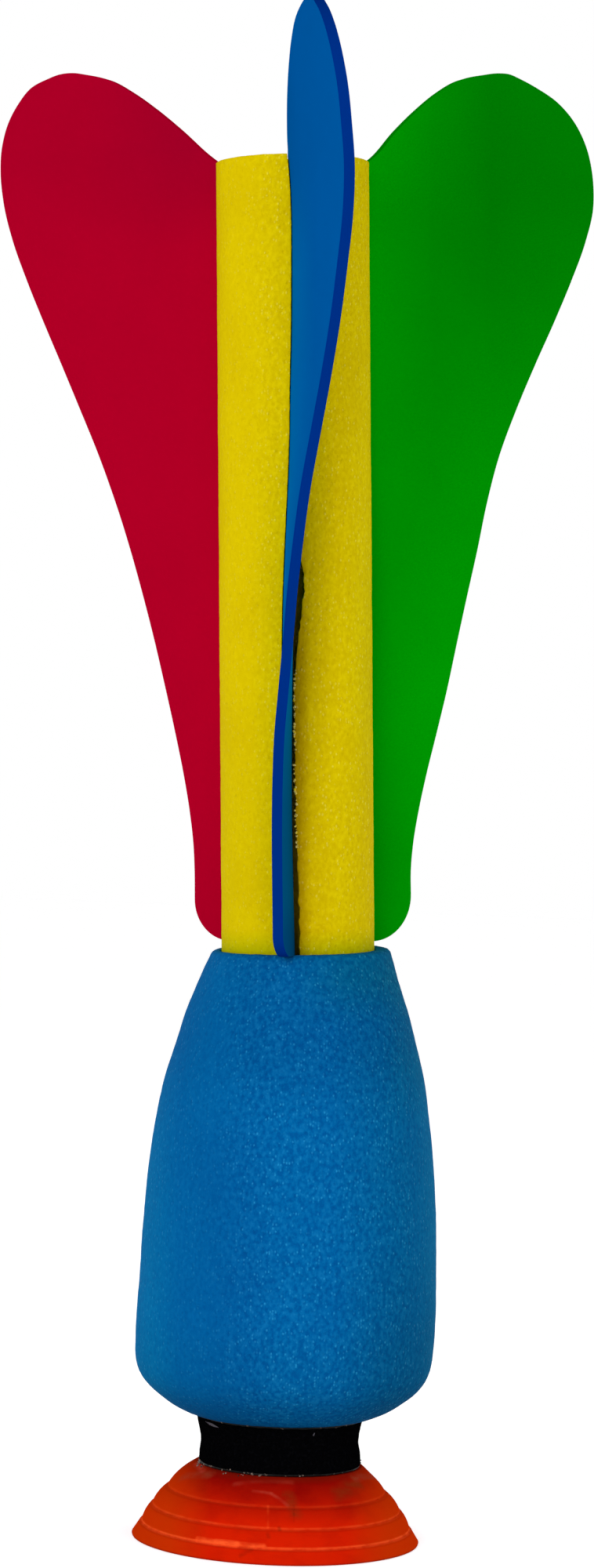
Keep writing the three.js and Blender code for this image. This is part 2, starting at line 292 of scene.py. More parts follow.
def ring(radius, height, count=ROUND_STEPS):
    angles = np.linspace(0, 2 * math.pi, count, endpoint=False)
    return np.column_stack([radius * np.cos(angles), radius * np.sin(angles), np.full(count, height)])


def roughen(obj, layers):
    """Moves a piece's skin in and out. Each layer is the size of its lumps and their depth."""
    mesh = obj.data
    normals = [vertex.normal.copy() for vertex in mesh.vertices]
    for vertex, normal in zip(mesh.vertices, normals):
        lift = sum(depth * noise.noise(vertex.co / size) for size, depth in layers)
        vertex.co += normal * lift
    mesh.update()


def seen_at(pieces, pixel):
    """Where the line of sight through a pixel first meets the pieces."""
    scale = VIEW_HEIGHT / PICTURE_HEIGHT
    across = (pixel[0] - AXIS_PIXEL[0]) * scale
    rise = (AXIS_PIXEL[1] - pixel[1]) * scale
    sight = RIGHT * across + UP * rise - BACK * CAMERA_DISTANCE
    hits = []
    for obj in pieces:
        faces = [polygon.vertices for polygon in obj.data.polygons]
        skin = BVHTree.FromPolygons([vertex.co for vertex in obj.data.vertices], faces)
        place, _, _, distance = skin.ray_cast(EYE, sight)
        if place:
            hits.append((distance, place))
    return min(hits)[1]


# Shaders

# Cut foam, with the sizes of its pits and glints in cells
FOAM_ROUGHNESS = 0.85
GLINT_ROUGHNESS = 0.45
CELL_STRETCH = 0.75  # below 1, cells are longer up the object than across it
PIT_STRETCH = 1.3  # makes the pits nearly round again
PIT_SIZE = 1.1
PIT_SHARE = 0.5
GLINT_SIZE = 0.7
GLINT_SHARE = 0.3
FLECK_STRENGTH = 0.7
FLECK_FADE = (0.12, 0.5)  # in cells, from a fleck's middle
FULL_SHARE = 0.4  # of the flecks have their full strength
CALM_SHARE = 0.4  # of the flecks stay where the foam is calm
# The values of a noise between which a shade comes in, and its strengths there
DARK_GRAIN = (0.5, 0.36, 0, 1)
PALE_GRAIN = (0.5, 0.66, 0, 0.6)
DARK_PATCHES = (0.5, 0.7, 0, 0.2)
# Sheet foam
NOISE_MIDDLE = (0.3, 0.7)  # most values of a noise lie here
PATCH_WEIGHT = 0.7  # and the grain has the rest
SHADE_CHANGE = 0.03
# Clear glue turns milky over this range of its clouds' noise, and white glue this much sooner
MILKY_RANGE = (0.62, 0.72)
WHITE_SHIFT = 0.24


def linear(colour):
    """A colour as the shaders take it, from its sRGB values of 0 to 255."""
    return (*(((c / 255 + 0.055) / 1.055) ** 2.4 if c > 10 else c / 255 / 12.92 for c in colour), 1)


def add(tree, kind, inputs=None, **settings):
    """Adds a node. Each input takes a value or another node's output."""
    made = tree.nodes.new("ShaderNode" + kind)
    for name, value in settings.items():
        setattr(made, name, value)
    for name, value in (inputs or {}).items():
        if isinstance(value, bpy.types.NodeSocket):
            tree.links.new(value, made.inputs[name])
        else:
            made.inputs[name].default_value = value
    return made


def vectors(tree, operation, first, second, output="Vector"):
    """The result of an operation on two vectors, or on one and a scale."""
    inputs = {0: first, "Scale" if operation == "SCALE" else 1: second}
    return add(tree, "VectorMath", inputs, operation=operation).outputs[output]


def start(name, roughness, specular):
    """A new material, its tree, its shader and its place on the object in millimetres."""
    material = bpy.data.materials.new(name)
    material.use_nodes = True
    tree = material.node_tree
    shader = tree.nodes["Principled BSDF"]
    shader.inputs["Roughness"].default_value = roughness
    shader.inputs["Specular IOR Level"].default_value = specular
    where = add(tree, "TexCoord").outputs["Object"]
    spot = vectors(tree, "SCALE", where, 1 / MM)
    return material, tree, shader, spot


def stretch(tree, spot, up):
    return vectors(tree, "MULTIPLY", spot, (1, 1, up))


def coordinates(tree, spot):
    return add(tree, "SeparateXYZ", {0: spot}).outputs


def speckle(tree, spot, size, detail=2.0):
    """Soft noise from 0 to 1, with lumps of a size in millimetres."""
    return add(tree, "TexNoise", {"Vector": spot, "Scale": 1 / size, "Detail": detail}).outputs["Fac"]


def spread(tree, value, low, high, to_low=0.0, to_high=1.0):
    """Takes a value's range from low to high onto another range, and stops at its ends."""
    inputs = {"Value": value, "From Min": low, "From Max": high, "To Min": to_low, "To Max": to_high}
    return add(tree, "MapRange", inputs).outputs["Result"]


def maths(tree, operation, first, second=0.0):
    return add(tree, "Math", {0: first, 1: second}, operation=operation).outputs[0]


def times(tree, *values):
    product = values[0]
    for value in values[1:]:
        product = maths(tree, "MULTIPLY", product, value)
    return product


def blend_colours(tree, share, first, second):
    """A mix of two colours, which are its node's inputs 6 and 7 and its output 2."""
    return add(tree, "Mix", {0: share, 6: first, 7: second}, data_type="RGBA").outputs[2]


def layered(tree, base, layers):
    """A base shade under layers of others, each with the share that it covers."""
    colour = linear(base)
    for share, shade in layers:
        colour = blend_colours(tree, share, colour, linear(shade))
    return colour


def cover(tree, shader, colour, relief, depth, strength=1.0):
    """Gives a shader its colour and its relief, of a depth in metres."""
    bump = add(tree, "Bump", {"Height": relief, "Distance": depth, "Strength": strength})
    tree.links.new(colour, shader.inputs["Base Color"])
    tree.links.new(bump.outputs["Normal"], shader.inputs["Normal"])


def flecks(tree, spot, size, share):
    """Small soft spots of a size in millimetres, in a share of the places where one could be."""
    cells = add(tree, "TexVoronoi", {"Vector": spot, "Scale": 1 / size}).outputs
    lot = add(tree, "SeparateColor", {"Color": cells["Color"]}).outputs[0]
    near = spread(tree, cells["Distance"], *FLECK_FADE, to_low=1, to_high=0)
    return times(tree, near, spread(tree, lot, 1 - share, 1 - share * FULL_SHARE))


def in_tail(tree, spot):
    """A place in the tube's own frame, in millimetres."""
    made = add(tree, "CombineXYZ")
    for socket, row in zip(made.inputs, TAIL.inverted()[:3]):
        reach = vectors(tree, "DOT_PRODUCT", spot, row[:3], "Value")
        tree.links.new(maths(tree, "ADD", reach, row[3] / MM), socket)
    return made.outputs[0]


def within(tree, spot, ranges):
    """A share that grows from 0 to 1 over each range of X, Y or Z, in millimetres in the tube's frame."""
    reach = coordinates(tree, in_tail(tree, spot))
    return times(tree, 1, *(spread(tree, reach[axis], low, high) for axis, low, high in ranges))


def toned(tree, spot, colour, tones):
    """A colour whose red, green and blue are multiplied over some ranges, as painted light and shade."""
    for ranges, change in tones:
        factor = blend_colours(tree, within(tree, spot, ranges), WHITE, (*change, 1))
        colour = vectors(tree, "MULTIPLY", colour, factor)
    return colour


def foam(name, shades, cell, dark_share, pale_share, tones=(), calm=()):
    """Cut foam: fine flecks of a dark and a pale shade on a middle one, and glints with a painted highlight
    in their colour, fewer of them where it is calm.
    """
    material, tree, shader, spot = start(name, FOAM_ROUGHNESS, specular=0.01)
    long = stretch(tree, spot, CELL_STRETCH)
    dark, middle, pale, painted_glint = shades
    for ranges in calm:
        lively = spread(tree, within(tree, spot, ranges), 0, 1, 1, CALM_SHARE)
        dark_share, pale_share = (times(tree, lively, share) for share in (dark_share, pale_share))
    grain = speckle(tree, long, cell, detail=3.0)
    pits = flecks(tree, stretch(tree, long, PIT_STRETCH), cell * PIT_SIZE, PIT_SHARE)
    glints = flecks(tree, long, cell * GLINT_SIZE, GLINT_SHARE)
    colour = layered(tree, middle, [
        (times(tree, spread(tree, grain, *DARK_GRAIN), dark_share), dark),
        (times(tree, spread(tree, grain, *PALE_GRAIN), pale_share), pale),
        (spread(tree, speckle(tree, long, size=10.0), *DARK_PATCHES), dark),
        (times(tree, pits, FLECK_STRENGTH, dark_share), dark),
        # painted highlight: the glints' pale colour, where the foam is also less rough
        (times(tree, glints, FLECK_STRENGTH, pale_share), painted_glint),
    ])
    roughness = spread(tree, glints, 0, 1, FOAM_ROUGHNESS, GLINT_ROUGHNESS)
    tree.links.new(roughness, shader.inputs["Roughness"])
    relief = maths(tree, "ADD", maths(tree, "SUBTRACT", glints, pits), grain)
    cover(tree, shader, toned(tree, spot, colour, tones), relief, depth=0.08 * MM)
    return material


def sheet_foam(name, shade, roughness=0.55, tones=()):
    """Smooth closed-cell sheet with a very fine grain."""
    material, tree, shader, spot = start(name, roughness, specular=0)
    patches = speckle(tree, spot, size=14.0, detail=3.0)
    grain = speckle(tree, spot, size=0.25, detail=1.0)
    fine = spread(tree, grain, *NOISE_MIDDLE, to_high=1 - PATCH_WEIGHT)
    tone = maths(tree, "ADD", spread(tree, patches, *NOISE_MIDDLE, to_high=PATCH_WEIGHT), fine)
    change = spread(tree, tone, 0, 1, 1 - SHADE_CHANGE, 1 + SHADE_CHANGE)
    colour = vectors(tree, "SCALE", linear(shade)[:3], change)
    cover(tree, shader, toned(tree, spot, colour, tones), grain, depth=0.02 * MM, strength=0.6)
    return material


def foam_black():
    material, tree, shader, spot = start("black_foam", roughness=0.9, specular=0)
    grain = speckle(tree, spot, size=0.6, detail=4.0)
    colour = layered(tree, COLLAR_BLACK, [(spread(tree, grain, low=0.5, high=0.8), COLLAR_GREY)])
    cover(tree, shader, colour, grain, depth=0.12 * MM)
    return material


def glue(name, whiteness):
    """Set hot-melt glue with dark foam fibres caught in it. Whiteness is the share that stays milky."""
    material, tree, shader, spot = start(name, roughness=0.45, specular=0.1)
    clouds = speckle(tree, spot, size=0.9, detail=4.0)
    milky = spread(tree, clouds, *(place - WHITE_SHIFT * whiteness for place in MILKY_RANGE))
    cover(tree, shader, layered(tree, GLUE_GREY, [(milky, GLUE_WHITE)]), milky, depth=0.08 * MM)
    return material


def lint():
    material, tree, shader, spot = start("grey_lint", roughness=0.8, specular=0)
    grain = speckle(tree, spot, size=0.3)
    cover(tree, shader, layered(tree, COLLAR_BLACK, [(grain, LINT_GREY)]), grain, depth=0.05 * MM)
    return material


# Hand work

# Both cuts through the foam are lower in front by this much for each metre
CUT_SLANT = 0.031
# Heights above the floor, and how far the pieces there lie to the right and stand out, all in mm
OFF_CENTRE = [
    (0, -0.48, 0.18), (8, -0.5, 0.18), (11, -0.55, 0), (13, -0.55, -0.2), (15, -0.15, 0), (17, -0.15, 0.22),
    (20, -0.35, 0.2), (23, -0.45, 0.12), (27, -0.3, 0.14), (33, -0.22, 0.2), (38, -0.05, 0),
    (46, 0.15, -0.14), (60, 0.15, -0.14), (74, 0, 0), (86, 0.05, -0.1), (97, 0.18, -0.3), (106, 0.2, -0.3),
    (110, 0.15, -0.23), (112, 0.22, -0.2), (115, 0.3, -0.25), (120, 0.3, -0.25),
]


def worked(points):
    """Points round the middle axis, moved to where hand work left them."""
    shift, growth = smooth(*apart(OFF_CENTRE), points[:, 2] / MM).T * MM
    moved = points.copy()
    moved[:, :2] *= 1 + (growth / np.maximum(STEM_RADIUS, np.hypot(points[:, 0], points[:, 1])))[:, None]
    moved[:, 0] += shift
    return moved


def turned(profile):
    """A closed, worked skin from a profile of radii and heights, turned round Z."""
    return loft([worked(ring(radius, height)) for radius, height in profile])


# Suction cup

# Each tier's foot, from the crown to the rim, in shares of the way out and of the cup's height
TIER_FEET = [(0.418, 0.66), (0.662, 0.415), (0.838, 0.185), (1, 0.021)]
TIER_PULL = (0.68, 0.38)  # a tier starts flat and ends steep
LAST_TIER_PULL = 0.55  # of the last tier's height
FOOT_ROUND = 0.32 * MM
LEDGE_OUT = 0.5 * MM
LEDGE_DOWN = 0.25 * MM
CREASE = 0.02 * MM
# Ways out and up from a tier's foot: its round edge in shares of FOOT_ROUND, its crease in those of CREASE
FOOT_ROUND_SHARES = [(-0.1, 1), (0.12, 0.5), (0, 0)]
CREASE_SHARES = [(-1, -1), (1, -1.8)]
LIP_WIDTH = 1.1 * MM
RIM_EDGE = 0.08 * MM
RIM_FOOT = 0.3 * MM
HOLLOW = [(1, 0), (0.95, 0.2), (0.84, 0.47), (0.69, 0.71), (0.5, 0.88), (0.26, 0.98), (0.02, 1)]
HOLLOW_DEPTH = 9.8 * MM
CROWN_EDGE = 0.4 * MM
STEM_RADIUS = 5.5 * MM
STEM_HEAD = (7.5 * MM, 5 * MM)
STEM_TIP = 0.6  # of the stem's head: its end's radius and its taper's height
# Scratches, smears, a hazy film and a painted highlight along the lowest step: from pixel to pixel, half
# width in mm, colour, strength
CUP_MARKS = [
    ((233, 1884), (268, 1881), 1.5, CUP_HAZE, 0.5),
    ((250, 1866), (259, 1876), 1.0, CUP_PALE, 0.5),
    ((300, 1893), (372, 1891), 0.8, CUP_PALE, 0.22),
    ((323, 1902), (346, 1905), 0.5, CUP_PALE, 0.4),
    ((346, 1905), (367, 1920), 0.5, CUP_PALE, 0.4),
    ((368, 1908), (378, 1932), 1.7, CUP_OLIVE, 0.6),
    ((432, 1906), (456, 1892), 2.2, CUP_OLIVE, 0.8),
    ((452, 1886), (476, 1884), 1.2, CUP_HAZE, 0.7),
    ((342, 1921), (342, 1949), 0.35, CUP_HIGHLIGHT_AND_SEAM, 0.3),
    ((342, 1956), (343, 1960), 0.6, CUP_SHADE_AND_SPOTS, 0.5),
    ((356, 1949), (357, 1952), 0.5, CUP_SHADE_AND_SPOTS, 0.5),
    ((308, 1984), (320, 1977), 0.7, CUP_SHADE_AND_SPOTS, 0.35),
    ((375, 1921), (375, 1940), 0.3, CUP_SHADE_AND_SPOTS, 0.4),
    # painted highlight along the lowest step's edge
    ((252, 1963.5), (275, 1967), 0.7, CUP_HIGHLIGHT_AND_SEAM, 0.8),
    ((275, 1967), (302, 1970), 0.8, CUP_HIGHLIGHT_AND_SEAM, 1),
    ((302, 1970), (336, 1972.5), 0.7, CUP_HIGHLIGHT_AND_SEAM, 0.9),
]
MARK_CORE = 0.2  # of a mark's half width, where it has its full strength
# Between which places painted shade and sheen come in, in mm up the cup or out from its middle, and their
# strengths there
UPPER_SHADE = (6.5, 13.8, 0, 0.9)
NECK_SHADE = (13.4, 14.6, 0, 0.75)
RIM_FOOT_SHADE = (0.5, 0.1, 0, 0.5)
SHEEN_SIDES = (13, 21, 0, 0.85)
# The same for clouds and smears, between values of their noise
DEEP_CLOUDS = (0.45, 0.7, 0, 0.25)
RAGGED_HIGHLIGHT = (0.3, 0.55, 0.3, 1)
RAGGED_MARK = (0.35, 0.6, 0.35, 1)
SMEAR_ROUGHNESS = (0.35, 0.7, 0.24, 0.5)
# A tier's painted highlight on its edge and the painted shade in the crease under it: low and high in mm
# above its foot, and their soft ends
HIGHLIGHT_BAND = (0, 0.3, 0.25)
CREASE_SHADE_BAND = (-0.3, -0.08, 0.2)
HIGHLIGHT_STRENGTHS = (0.14, 0.32, 0.62)
CREASE_SHADE_STRENGTH = 0.15


def cup_size():
    """The crown's edge as radius and height, the rim's radius and the stem's top."""
    glue_low, glue_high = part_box("collar_cup_glue")
    cup_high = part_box("suction_cup")[1]
    return (glue_high.x + CROWN_EDGE, glue_low.z), cup_high.x, cup_high.z


def stem_profile(crown, stem_top):
    head_radius, head_height = STEM_HEAD
    return [
        (head_radius * STEM_TIP, stem_top),
        (head_radius, stem_top - head_height * STEM_TIP),
        (head_radius, stem_top - head_height),
        (STEM_RADIUS, stem_top - head_height),
        (STEM_RADIUS, crown[1]),
        (crown[0] - CROWN_EDGE, crown[1]),
    ]


def beside(foot, size, shares):
    """Points beside a foot, whose ways out and up from it are shares of a size."""
    return [(foot[0] + out * size, foot[1] + up * size) for out, up in shares]


def tier(top, foot):
    """One tier's bulging side, with a round edge at its foot and a crease under it."""
    pull = [top[i] + (foot[i] - top[i]) * TIER_PULL[i] for i in (0, 1)]
    edge = beside(foot, FOOT_ROUND, FOOT_ROUND_SHARES)
    side = bend(top, pull, edge[0], TIER_STEPS)
    return [*side, *edge[1:], *beside(foot, CREASE, CREASE_SHARES)]


def cup_profile():
    crown, rim, stem_top = cup_size()
    profile = stem_profile(crown, stem_top)
    top = crown
    for out, up in TIER_FEET:
        foot = (crown[0] + (rim - crown[0]) * out, crown[1] * up)
        if out < 1:
            profile += tier(top, foot)
        else:
            pull = ((top[0] + foot[0]) / 2, top[1] * LAST_TIER_PULL)
            profile += [*bend(top, pull, foot, TIER_STEPS)]
        top = (foot[0] + LEDGE_OUT, foot[1] - LEDGE_DOWN)
    inner = rim - LIP_WIDTH
    profile += [(rim - RIM_EDGE, RIM_EDGE), (rim - RIM_FOOT, 0), (inner, 0)]
    hollow = [(inner * out, HOLLOW_DEPTH * up) for out, up in HOLLOW]
    return profile + [*resample(hollow, HOLLOW_STEPS)[1:]]


def band(tree, height, foot, low, high, soft):
    """1 where a height lies from low to high above a foot, with soft ends."""
    above = maths(tree, "SUBTRACT", height, foot)
    return times(tree, spread(tree, above, low - soft, low), spread(tree, above, high + soft, high))


def mark(tree, spot, ends, width):
    """How near a place is to the line between two places: 1 on it and 0 past a width in mm."""
    first, last = (end / MM for end in ends)
    along = last - first
    offset = vectors(tree, "SUBTRACT", spot, first)
    reach = vectors(tree, "DOT_PRODUCT", offset, along, "Value")
    nearest = vectors(tree, "SCALE", along, spread(tree, reach, 0, along.length_squared))
    gap = vectors(tree, "DISTANCE", offset, nearest, "Value")
    return spread(tree, gap, MARK_CORE * width, width, 1, 0)


def cup_layers(tree, spot, smears, cup):
    """What lies over the cup's red, from the neck to the rim and then its marks: painted shade at the neck,
    in the creases and at the rim's foot, painted sheen at the sides, and painted highlights on the steps'
    edges.
    """
    place = coordinates(tree, spot)
    layers = [
        # painted shade under the collar
        (spread(tree, place["Z"], *NECK_SHADE), CUP_SHADE_AND_SPOTS),
        # painted sheen at the sides
        (spread(tree, maths(tree, "ABSOLUTE", place["X"]), *SHEEN_SIDES), CUP_SIDE_SHEEN),
    ]
    ragged = spread(tree, smears, *RAGGED_HIGHLIGHT)
    for (_, up), strength in zip(TIER_FEET, HIGHLIGHT_STRENGTHS):
        foot = up * cup_size()[0][1] / MM
        # painted highlight on the step's edge
        edge = times(tree, band(tree, place["Z"], foot, *HIGHLIGHT_BAND), ragged, strength)
        # painted shade in the crease under it
        crease_shade = times(tree, band(tree, place["Z"], foot, *CREASE_SHADE_BAND), CREASE_SHADE_STRENGTH)
        layers += [(edge, CUP_HIGHLIGHT_AND_SEAM), (crease_shade, CUP_CREASE_SHADE)]
    # painted shade along the rim's foot
    layers.append((spread(tree, place["Z"], *RIM_FOOT_SHADE), CUP_SHADE_AND_SPOTS))
    worn = spread(tree, smears, *RAGGED_MARK)
    for *pixels, width, shade, strength in CUP_MARKS:
        ends = [seen_at([cup], pixel) for pixel in pixels]
        layers.append((times(tree, mark(tree, spot, ends, width), worn, strength), shade))
    return layers


def cup_plastic(cup):
    """Soft orange-red plastic, deeper red near its neck, with painted shade there and at its rim foot,
    painted sheen at its sides, painted highlights on its steps' edges and painted shade in their creases,
    and marks.
    """
    material, tree, shader, spot = start("cup_plastic", roughness=0.3, specular=0)
    for name, value in {"Weight": 0.1, "Radius": (1, 0.12, 0.04), "Scale": 1.5 * MM}.items():
        shader.inputs["Subsurface " + name].default_value = value
    clouds = speckle(tree, stretch(tree, spot, 1.6), size=6.0, detail=4.0)
    smears = speckle(tree, stretch(tree, spot, 2.5), size=2.2, detail=5.0)
    # painted shade: darker red towards the collar, with random deeper clouds
    shade_and_clouds = spread(tree, coordinates(tree, spot)["Z"], *UPPER_SHADE)
    shade_and_clouds = maths(tree, "ADD", shade_and_clouds, spread(tree, clouds, *DEEP_CLOUDS))
    colour = layered(tree, CUP_RED, [(shade_and_clouds, CUP_DEEP_AND_SHADED), *cup_layers(tree, spot, smears, cup)])
    tree.links.new(spread(tree, smears, *SMEAR_ROUGHNESS), shader.inputs["Roughness"])
    cover(tree, shader, colour, smears, depth=0.03 * MM, strength=0.5)
    return material


def suction_cup():
    cup = piece("soft_cup", *turned(cup_profile()), "cup_pvc", sharp=32)
    cup.data.materials.append(cup_plastic(cup))
    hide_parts("suction_cup")
    return cup


# Collar and the glue on it

COLLAR_LUMPS = [(4 * MM, 0.1 * MM), (0.9 * MM, 0.06 * MM)]
# A bead's section: heights in shares of half its joint's, widths in shares of BEAD_WIDTH
BEAD_SHARES = [(-1, -1.5), (-1, 0), (-0.6, 0.4), (0, 0.5), (0.6, 0.4), (1, 0), (1, -1.5)]
BEAD_WIDTH = 0.4 * MM
BEAD_WAVE = 0.3 * MM
WAVE_CIRCLE = 2.6  # the radius of the circle through the noise that a bead's waves follow
BEAD_LUMPS = [(0.8 * MM, 0.12 * MM)]


def outline(node):
    """The radii and heights of a turned node's outside, from its lowest corner up."""
    points = corners(node)
    radii = np.hypot(points[:, 0], points[:, 1])
    found = []
    for height in levels(points[:, 2], CLOSE):
        here = radii[abs(points[:, 2] - height) < CLOSE]
        outside = here.max() > TUBE_RADIUS
        if outside and (here > here.max() - CLOSE).sum() > RING_CORNERS:
            found.append((here.max(), height))
    return found


def collar():
    side = resample(outline("neck_collar"), COLLAR_STEPS)
    profile = [(STEM_RADIUS, side[0][1]), *side, (STEM_RADIUS, side[-1][1])]
    spool = piece("foam_collar", *turned(profile), "collar_foam", foam_black())
    roughen(spool, COLLAR_LUMPS)
    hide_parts("neck_collar")
    return spool


def glue_bead(name, node, material, swell):
    """An uneven bead of glue round a joint, that stands out by swell, or lies back in the joint."""
    low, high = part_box(node)
    middle = (low.z + high.z) / 2
    waves = [noise.noise(Vector(place)) for place in ring(WAVE_CIRCLE, middle / MM)]
    outer = high.x + swell + BEAD_WAVE * np.array(waves)
    half = (high.z - low.z) / 2
    profile = [(outer + width * BEAD_WIDTH, middle + up * half) for up, width in BEAD_SHARES]
    bead = piece(name, *turned(profile), "hot_melt_glue", material)
    roughen(bead, BEAD_LUMPS)
    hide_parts(node)
    return bead


# Torn bits, specks of glue and lint

# Left, right, top and bottom pixels of a patch, and how many specks it has
SPECKS = [
    (252, 261, 1863, 1871, 14),
    (276, 300, 1874, 1880, 6),
    (303, 336, 1879, 1883, 12),
    (381, 394, 1880, 1883, 5),
]
SPECK_SIZES = (0.08 * MM, 0.22 * MM)
REAR_SPECKS = 20
REAR_SPREAD = 0.5 * MM  # up from the collar's foot
CRUMB_DEPTH = 0.45  # of a torn bit's size
CRUMB_CELLS = 1.3  # of the noise to a torn bit's size
CRUMB_SHIFT = 3.7  # through the noise, from one bit to the next
# From pixel to pixel, and the half width in mm
LINT = [((262, 1813), (279, 1821), 0.3), ((329, 1814), (342, 1821), 0.28), ((399, 1831), (402, 1828), 0.3)]
STRAND_TIP = 0.15  # of a strand's width


def crumb(centre, size, shift):
    """A small torn bit, as corners and faces."""
    ball = bmesh.new()
    bmesh.ops.create_icosphere(ball, subdivisions=2, radius=size)
    for vertex in ball.verts:
        place = vertex.co / size * CRUMB_CELLS + Vector((shift, 0, 0))
        vertex.co *= 1 + CRUMB_DEPTH * noise.noise(place)
    points = np.array([vertex.co for vertex in ball.verts]) + np.array(centre)
    faces = [tuple(vertex.index for vertex in face.verts) for face in ball.faces]
    ball.free()
    return points, faces


def gathered(parts):
    """One set of corners and faces from several."""
    vertices, faces, count = [], [], 0
    for points, found in parts:
        vertices.append(points)
        faces += [tuple(i + count for i in face) for face in found]
        count += len(points)
    return np.concatenate(vertices), faces


def crumbs(name, spots, slot, material):
    parts = [crumb(centre, size, CRUMB_SHIFT * i) for i, (centre, size) in enumerate(spots)]
    piece(name, *gathered(parts), slot, material)


def collar_specks(pieces, material):
    """Specks of glue and fluff along the collar's foot, in patches in front and strewn behind."""
    spots = []
    for left, right, top, bottom, count in SPECKS:
        for _ in range(count):
            place = seen_at(pieces, (RANDOM.uniform(left, right), RANDOM.uniform(top, bottom)))
            spots.append((place, RANDOM.uniform(*SPECK_SIZES)))
    radius, low = outline("neck_collar")[0]
    for azimuth in RANDOM.uniform(0, math.pi, REAR_SPECKS):
        height = low + abs(RANDOM.normal(0, REAR_SPREAD))
        place = worked(np.array([[radius * math.cos(azimuth), radius * math.sin(azimuth), height]]))[0]
        spots.append((place, RANDOM.uniform(*SPECK_SIZES)))
    crumbs("collar_specks", spots, "hot_melt_glue", material)


def strand(places, width):
    """A thin strand with pointed ends along some places, as corners and faces."""
    path = resample(places, STRAND_STEPS)
    rings = []
    for share, place in zip(np.linspace(0, 1, len(path)), path):
        thick = width * max(STRAND_TIP, math.sin(math.pi * share))
        across = ring(thick, 0, STRAND_SIDES)[:, [2, 0, 1]]
        rings.append(across + place)
    return loft(rings)


def collar_lint(pieces, material):
    """Pale strands that lie on the collar's top."""
    parts = []
    for first, last, width in LINT:
        pixels = [np.array(first) * (1 - t) + np.array(last) * t for t in (0, 0.5, 1)]
        places = [np.array(seen_at(pieces, pixel)) for pixel in pixels]
        parts.append(strand(places, width * MM))
    piece("collar_lint", *gathered(parts), "hot_melt_glue", material)


# Head

SHOULDER = 0.8 * MM
SOCKET_SLACK = 0.12 * MM
SOCKET_LIP = 0.4 * MM
SOCKET_FLOOR = -0.5 * MM  # below the tube's front end
SETTLE = 12 * MM  # over this much of its top, the bell leans to its slanting rear face
HEAD_LUMPS = [(11 * MM, 0.14 * MM), (2.2 * MM, 0.04 * MM), (0.9 * MM, 0.04 * MM)]


def rear_height(x, y=0):
    """How high the head's slanting rear face lies at a place. It is cut a little lower in front."""
    middle = TAIL @ Vector((0, 0, HEAD_REAR))
    slope = TAIL.to_3x3() @ Vector((0, 0, 1))
    return middle.z - (x - middle.x) * slope.x / slope.z + y * CUT_SLANT


def bell_ring(radius, height, rear):
    points = worked(ring(radius, height))
    share = np.clip((height - rear + SETTLE) / SETTLE, 0, 1)
    points[:, 2] += share * share * (3 - 2 * share) * (rear_height(points[:, 0], points[:, 1]) - rear)
    return points


def head():
    bell = resample(outline("head_foam"), BELL_STEPS)
    rear = rear_height(0)
    wall = bell[bell[:, 1] < rear - 2 * SHOULDER]
    slope = (wall[-1, 0] - wall[-2, 0]) / (wall[-1, 1] - wall[-2, 1])
    rear_radius = wall[-1, 0] + slope * (rear - wall[-1, 1])
    shoulder = []
    for a in np.linspace(0, math.pi / 2, SHOULDER_STEPS):
        drop = SHOULDER * (1 - math.sin(a))
        shoulder.append((rear_radius - slope * drop - SHOULDER * (1 - math.cos(a)), rear - drop))
    rings = [ring(STEM_RADIUS, wall[0][1]), ring(wall[0][0] - SHOULDER / 2, wall[0][1])]
    rings += [bell_ring(radius, height, rear) for radius, height in [*wall, *shoulder]]
    mouth = TUBE_RADIUS + SOCKET_SLACK
    socket = [(mouth + SOCKET_LIP * out, HEAD_REAR - SOCKET_LIP * down) for out, down in ROUNDED_SHARES]
    for radius, height in [*socket, (mouth, HEAD_REAR / 2), (mouth, SOCKET_FLOOR)]:
        level = placed(ring(radius, height), TAIL)
        level[:, 2] += level[:, 1] * CUT_SLANT * (height > HEAD_REAR / 2)
        rings.append(level)
    material = foam(
        "blue_foam", HEAD_BLUES, cell=0.75, dark_share=0.75, pale_share=0.75,
        tones=HEAD_TONES, calm=HEAD_CALM,
    )
    foam_head = piece("bell_head", *loft(rings), "blue_foam", material)
    roughen(foam_head, HEAD_LUMPS)
    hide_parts("head_foam")


# Fins

FIN_THICKNESS = 2.2 * MM
EDGE_ROUND = 0.12 * MM
# The rings of a sheet's rounded edge: how far in from the one before and how far round, in shares
EDGE_SHARES = [(0, 0), (0.3, 0.7), (0.7, 1)]
ON_CUT = CLOSE / 10  # corners this near a cut through the flat sheet lie on it
BOW_POWER = 1.6  # above 1, a sheet's bend grows towards its edge
CAD_CORNER = 7 * MM  # below this height over the foot, the CAD's edge is cut round
CORNERS = {"fin_blue": 4.2 * MM, "fin_green": 9 * MM, "fin_red": 8 * MM}
FOOT_DROPS = {"fin_blue": 0.9 * MM, "fin_green": 0.35 * MM, "fin_red": 0}
WARP = 0.25 * MM
WARP_SIZE = 35 * MM
WARP_START = 20 * MM  # from the tube, over which the waves grow
FIN_LOOKS = {
    "red": (RED_EVA, RED_TONES, RED_EVA),
    "green": (GREEN_EVA, GREEN_TONES, GREEN_EVA),
    "blue": (BLUE_EVA, BLUE_TONES, BLUE_CUT),
}


